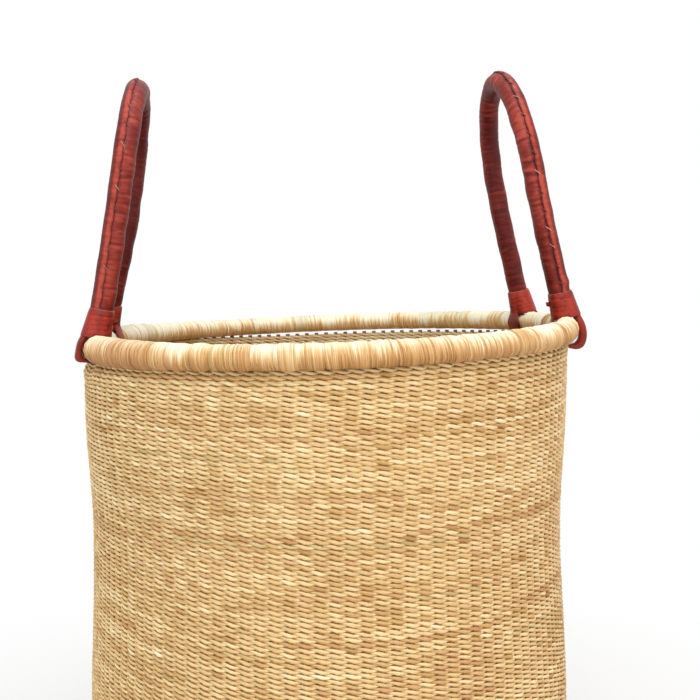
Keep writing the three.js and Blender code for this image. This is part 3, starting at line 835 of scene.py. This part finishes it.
# The thread is laid of plies that turn once in 2 mm.
plies = add_node(tree, "ShaderNodeTexWave", {"Vector": place, "Scale": 160, "Distortion": 1.0},
                 bands_direction="DIAGONAL")
bump = add_node(tree, "ShaderNodeBump", {
    "Height": plies.outputs["Fac"], "Strength": 0.5, "Distance": 0.0002})
shader.inputs["Roughness"].default_value = 0.6
tree.links.new(ramp.outputs["Color"], shader.inputs["Base Color"])
tree.links.new(bump.outputs[0], shader.inputs["Normal"])
for side, facing, lean, _ in handles:
    length, line, away, off = arch_path(cover_steps_along + 1, side)
    spots = np.arange(stitch_spacing, length[-1] - sewn_end, stitch_spacing)
    sweep = np.linspace(thread_sweeps[0], thread_sweeps[-1], thread_steps)
    reach = np.interp(sweep, thread_sweeps, thread_reaches)
    rings = []
    for spot in spots:
        at = spot + np.linspace(*stitch_slant, thread_steps) + rng.normal(0, 0.4)
        base, out, up = (
            np.stack([np.interp(at, length, values[:, k]) for k in range(3)], -1)
            for values in (line, away, off))
        angle = np.radians(lap_angles[side] + 3 + sweep)[:, None]
        radial = out * np.cos(angle) + up * np.sin(angle)
        centre = base + reach[:, None] * radial
        travel = unit(np.gradient(centre, axis=0))
        across = unit(np.cross(travel, radial))
        upright = np.cross(across, travel)
        rings.append(np.stack([
            centre + thread_half * (math.cos(a) * across + math.sin(a) * upright)
            for a in np.arange(thread_sides) * 2 * math.pi / thread_sides], 1))
    rings = placed(np.array(rings), handle_place(facing, lean))
    tone = 0.85 * rng.random((len(spots), 1)) ** 4 + 0.05
    thread = tube_piece(f"{side}_thread", rings, closed=False, step_length=0.6, girth=2.6,
                        values={"tone": np.repeat(tone, thread_steps, 1)})
    thread.data.materials.append(waxed_cotton)
    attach(thread, f"{side}_handle")


# Foot straps: at each foot a band of the same leather, folded double, goes down from inside the
# binding, round the rim and through the cloth, and back up. Bending has rounded and polished it.
strap_steps = 64
strap_smoothings = 6
gathered_half = 5.6
tuck_narrowing = 1.2
# Heights up the leg over which the band is gathered, narrows, and follows the leg off the basket.
gather_heights = (2, 9)
tuck_heights = (9, 20)
follow_heights = (0, 16)
# The band's section, as shares of its half width and half thickness.
strap_section = [
    (1.0, 0.0), (0.93, 0.72), (0.7, 1.0), (0.0, 1.08), (-0.7, 1.0), (-0.93, 0.72), (-1.0, 0.0),
    (-0.93, -0.72), (-0.7, -1.0), (0.7, -1.0), (0.93, -0.72)]
# Each row is a place along the band, from the outer ply to the inner one: its outer face's way off
# the leg and height, then its inner face's.
strap_paths = {
    "right": [
        (8.0, 24, 4.0, 24), (10.4, 16, 6.0, 16), (13.2, 9, 7.6, 8.5), (15.5, 4, 9.6, 4),
        (16.7, 0, 10.4, 0), (17.0, -5, 10.8, -4), (16.2, -11, 10.8, -8.6),
        (13.4, -17.4, 8.8, -12.6), (8.0, -20.2, 5.0, -15.0), (1, -17.5, 0, -13.2), (-6, -13, -5, -9.5),
        (-10.0, -6.5, -7.9, -5.2), (-11.0, 0, -9.2, 0), (-10.2, 6, -8.0, 5.5), (-9.0, 11, -6.0, 11),
        (-7.8, 24, -4.5, 24)],
    "left": [
        (7.5, 24, 4.0, 24), (9.9, 16, 6.0, 16), (12.4, 9, 8.0, 8.5), (14.6, 4, 10.2, 4),
        (15.0, 0, 11.2, 0), (15.0, -4.5, 11.4, -3.5), (15.2, -9.4, 10.6, -6.5),
        (12.2, -12, 8.6, -8.0), (8.0, -11.0, 6.0, -8.8), (1, -11.4, 0, -9), (-5, -10, -4, -8),
        (-9.8, -6, -7.9, -5.2), (-11.2, 0, -9.2, 0), (-10.4, 6, -8.2, 5.5), (-9.0, 11, -6.0, 11),
        (-7.8, 24, -4.5, 24)]}
strap_leather = dyed_leather("dyed goat leather band", "#5e1412", "#92301f", "#bd4f3f", 0.38, (14, 60, 1))


def foot_axes(lean, end):
    """At one foot, in the handle's frame: the rim's way, up the leg, and off the basket."""
    rim_way = Vector((-math.sin(end * foot_sweep), math.cos(end * foot_sweep), 0))
    rim_way = Matrix.Rotation(lean, 3, "Y") @ rim_way
    leg = Vector((0, 0, 1))
    across = -leg.cross(rim_way).normalized()
    return np.array(rim_way), np.array(leg), np.array(across if across.x > 0 else -across)


def at_foot(rings, end, facing, lean):
    """Rings of points round the leg at one foot, in the basket's frame."""
    rings = np.stack(rings, 1) + np.array([0, end * foot_half_spread, 0])
    return placed(rings[None], handle_place(facing, lean))


for side, facing, lean, mirror in handles:
    for foot, end in (("front", -mirror), ("rear", mirror)):
        rim_way, leg, across = foot_axes(lean, end)
        rows = np.array(strap_paths[side], float)
        faces = np.stack([
            np.interp(np.linspace(0, len(rows) - 1, strap_steps), np.arange(len(rows)), rows[:, k])
            for k in range(4)], -1)
        for _ in range(strap_smoothings):
            faces[1:-1] = (faces[:-2] + 2 * faces[1:-1] + faces[2:]) / 4
        foot_set = foot_sets[side][0 if end < 0 else 1]
        faces[:, 0::2] += foot_set * smooth_step(faces[:, 1::2], *follow_heights)
        line = (faces[:, :2] + faces[:, 2:]) / 2
        half = (faces[:, :2] - faces[:, 2:]) / 2
        # It is gathered where it goes under the binding.
        full = strap_half_wides[f"{side}_{foot}"]
        half_wide = full + (min(full, gathered_half) - full) * smooth_step(line[:, 1], *gather_heights)
        half_wide = half_wide - tuck_narrowing * smooth_step(line[:, 1], *tuck_heights)
        rings = []
        for wide, high in strap_section:
            spot = line + half * high
            rings.append(
                spot[:, :1] * across + spot[:, 1:] * leg + (wide * half_wide)[:, None] * rim_way)
        rings = at_foot(rings, end, facing, lean)
        plain = np.zeros(rings.shape[:3])
        strap = tube_piece(f"{side}_{foot}_band", rings, closed=False, step_length=2.0, girth=30,
                           values={"cut": plain, "shade_and_tone": plain})
        strap.data.materials.append(strap_leather)
        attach(strap, f"{side}_handle")
        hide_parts(f"{side}_{foot}_strap")


# Foot bindings: a long strip of brighter leather, wound tightly from the foot up the leg, each turn
# lying half over the one below. It hides where cover and strap meet. The last turn's cut edge shows
# pale, and the strip's end sticks out as a short tail.
binding_steps = 40
binding_turns = 5.5
binding_thick = 0.5
binding_wave = 0.12
binding_unevenness = 0.03
binding_tones = 0.08
tail_steps = 6
tail_start = 7.5
tail_end = 12.0
tail_slope = 0.25
tail_aside = 1.5
tail_height_share = 0.6
tail_half_wides = (2.4, 1.6)
tail_half_thick = 0.3
binding_leather = dyed_leather(
    "bright dyed leather strip", "#701c16", "#a43325", "#c44e3b", 0.42, (30, 60, 1))
# By side: the strip's width, the lowest edge's height, the rise of a turn, the radius at the top,
# and how much wider it is off the basket at the top and at the foot, and towards the basket.
windings = {"right": (8.3, 8.3, 3.55, 8.5, 1.2, 4.7, 0.9), "left": (8.6, 8.7, 3.65, 8.4, 0.6, 4.2, 0.6)}
for side, facing, lean, mirror in handles:
    strip_width, start, pitch, top_radius, top_out, foot_out, foot_in = windings[side]
    for foot, end in (("front", -mirror), ("rear", mirror)):
        _, leg, across = foot_axes(lean, end)
        sideways = np.cross(leg, across)
        steps = round(binding_turns * binding_steps)
        turn = end * 2 * np.pi * np.arange(steps + 1) / binding_steps
        radial = np.cos(turn)[:, None] * across + np.sin(turn)[:, None] * sideways
        wave = binding_wave * np.sin(3 * turn + 0.7) + rng.normal(0, binding_unevenness, steps + 1)
        outward = (0.5 + 0.5 * np.cos(turn)) ** 1.4
        foot_set = foot_sets[side][0 if end < 0 else 1]
        height = pitch * (binding_turns - 2) + strip_width
        # The first turn lies level, and in the last one the strip is cut to a point.
        wound = np.abs(turn) / (2 * np.pi)
        rise = start + pitch * np.maximum(wound - 1, 0)
        wide = strip_width - pitch * np.clip(wound - binding_turns + 1, 0, 1)
        lapped = pitch / strip_width
        outline = [
            (0.0, 0.5), (0.02, 1.2), (lapped, 1.4), (0.975, 1.0), (1.0, 0.9), (1.0, 0.1), (lapped, 0.0)]
        places = []
        for up, out in outline:
            level = rise + up * wide
            low = np.clip(1 - (level - start) / height, 0, 1)
            widen = foot_in * low * (1 - outward) + (top_out + (foot_out - top_out) * low) * outward
            away = (top_radius + widen + wave + out * binding_thick)[:, None]
            places.append(radial * away + leg * level[:, None] + across * foot_set)
        rings = at_foot(places, end, facing, lean)
        cut = np.zeros(rings.shape[:3])
        cut[..., 4] = 0.9
        cut[..., 5] = 0.6
        shade_and_tone = binding_tones * np.sin(7 * turn + 2)
        shade_and_tone = np.broadcast_to(shade_and_tone[None, :, None], rings.shape[:3])
        binding = tube_piece(f"{side}_{foot}_winding", rings, closed=False, step_length=1.6, girth=20,
                             values={"cut": cut, "shade_and_tone": shade_and_tone})
        binding.data.materials.append(binding_leather)
        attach(binding, f"{side}_handle")
        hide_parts(f"{side}_{foot}_binding")
        # On the front feet the strip's cut end sticks out towards the basket.
        if foot == "rear":
            continue
        reach = np.linspace(tail_start, tail_end, tail_steps)
        level = start + tail_height_share * height + tail_slope * (reach - tail_start)
        aside = end * (tail_aside + tail_slope * (reach - tail_start))
        wide = np.linspace(*tail_half_wides, tail_steps)
        rings = []
        for up, out in ((1, 0), (0, 1), (-1, 0), (0, -1)):
            rings.append(
                (foot_set - reach - 0.12 * up)[:, None] * across + (level + up * wide)[:, None] * leg
                + (aside + tail_half_thick * out)[:, None] * sideways)
        rings = at_foot(rings, end, facing, lean)
        plain = np.zeros(rings.shape[:3])
        tail = tube_piece(f"{side}_{foot}_tail", rings, closed=False, step_length=1.4, girth=8,
                          values={"cut": plain, "shade_and_tone": plain - 0.1})
        tail.data.materials.append(binding_leather)
        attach(tail, f"{side}_handle")


# Floor, lights and camera: a white studio sweep under broad, soft light from above and in front,
# with a weak, warm lamp on the right. The camera stands where the photograph's stood.
floor_size = 14
# Within this many metres of the basket's middle the floor keeps its shadow; beyond, it is white.
shadow_reach = (0.3, 0.9)
lamp_aim = (0, 0, 0.4)
# Focal length in pixels of a photo this wide, as fitted to the photo, with the camera's place.
photo_width = 700
focal_pixels = 922
camera_place = (-0.1001, -0.7636, 0.5479)


def seen_straight(tree):
    """1 for a ray from the camera, from a reflection or through something, and 0 for other rays."""
    ray = add_node(tree, "ShaderNodeLightPath", {})
    total = add_node(tree, "ShaderNodeMath", {
        0: ray.outputs["Is Camera Ray"], 1: ray.outputs["Is Glossy Ray"]}, operation="ADD")
    return add_node(tree, "ShaderNodeMath", {
        0: total.outputs[0], 1: ray.outputs["Is Transmission Ray"]}, operation="ADD", use_clamp=True)


bpy.ops.mesh.primitive_plane_add(size=floor_size, location=(0, 0, 0))
floor = bpy.context.object
floor.name = "floor"
floor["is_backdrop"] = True
paper, tree, shader = new_material("white background paper")
shader.inputs["Base Color"].default_value = linear("#f7f8f8")
shader.inputs["Roughness"].default_value = 0.9
shader.inputs["Specular IOR Level"].default_value = 0.1
place = add_node(tree, "ShaderNodeTexCoord", {}).outputs["Object"]
distance = add_node(tree, "ShaderNodeVectorMath", {0: place}, operation="LENGTH").outputs["Value"]
fade = add_node(tree, "ShaderNodeMapRange", {
    "Value": distance, "From Min": shadow_reach[0], "From Max": shadow_reach[1]},
    interpolation_type="SMOOTHSTEP")
lit = add_node(tree, "ShaderNodeMath", {
    0: seen_straight(tree).outputs[0], 1: fade.outputs[0]}, operation="MULTIPLY")
glow = add_node(tree, "ShaderNodeEmission", {"Color": (1, 1, 1, 1), "Strength": 1})
mix = add_node(tree, "ShaderNodeMixShader", {0: lit.outputs[0], 1: shader.outputs[0], 2: glow.outputs[0]})
tree.links.new(mix.outputs[0], tree.nodes["Material Output"].inputs["Surface"])
floor.data.materials.append(paper)

world = bpy.data.worlds.new("studio")
bpy.context.scene.world = world
world.use_nodes = True
tree = world.node_tree
sky = tree.nodes["Background"]
sky.inputs["Color"].default_value = (1.0, 0.995, 0.98, 1)
sky.inputs["Strength"].default_value = 0.55
white = add_node(tree, "ShaderNodeBackground", {"Color": (1, 1, 1, 1), "Strength": 1})
mix = add_node(tree, "ShaderNodeMixShader", {
    0: seen_straight(tree).outputs[0], 1: sky.outputs[0], 2: white.outputs[0]})
tree.links.new(mix.outputs[0], tree.nodes["World Output"].inputs["Surface"])

# Each lamp's name, place, width in metres, watts and colour.
for name, place, size, power, colour in [
    ("overhead", (0.1, -0.5, 2.3), 1.8, 22, "#ffffff"),
    ("front", (-0.4, -2.1, 1.85), 1.5, 27.5, "#ffffff"),
    ("right", (1.9, -1.5, 0.9), 1.4, 4.4, "#ffae62"),
]:
    bpy.ops.object.light_add(type="AREA", location=place)
    lamp = bpy.context.object
    lamp.name = name
    lamp.data.shape = "DISK"
    lamp.data.size = size
    lamp.data.energy = power
    lamp.data.color = linear(colour)[:3]
    lamp.rotation_mode = "QUATERNION"
    lamp.rotation_quaternion = (Vector(lamp_aim) - Vector(place)).to_track_quat("-Z", "Y")

heading, pitch, roll = math.radians(8.755), math.radians(4.457), math.radians(0.264)
ahead = Vector((
    math.sin(heading) * math.cos(pitch), math.cos(heading) * math.cos(pitch), -math.sin(pitch)))
level = Vector((math.cos(heading), -math.sin(heading), 0))
upward = level.cross(ahead)
rightward = math.cos(roll) * level + math.sin(roll) * upward
upward = -math.sin(roll) * level + math.cos(roll) * upward
bpy.ops.object.camera_add()
camera = bpy.context.object
camera.data.sensor_width = 36
camera.data.lens = focal_pixels / photo_width * camera.data.sensor_width
camera.data.clip_start, camera.data.clip_end = 0.05, 40
camera.matrix_world = Matrix.Translation(camera_place) @ Matrix(
    (rightward, upward, -ahead)).transposed().to_4x4()
bpy.context.scene.camera = camera
bpy.context.scene.view_settings.view_transform = "Standard"

low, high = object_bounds()
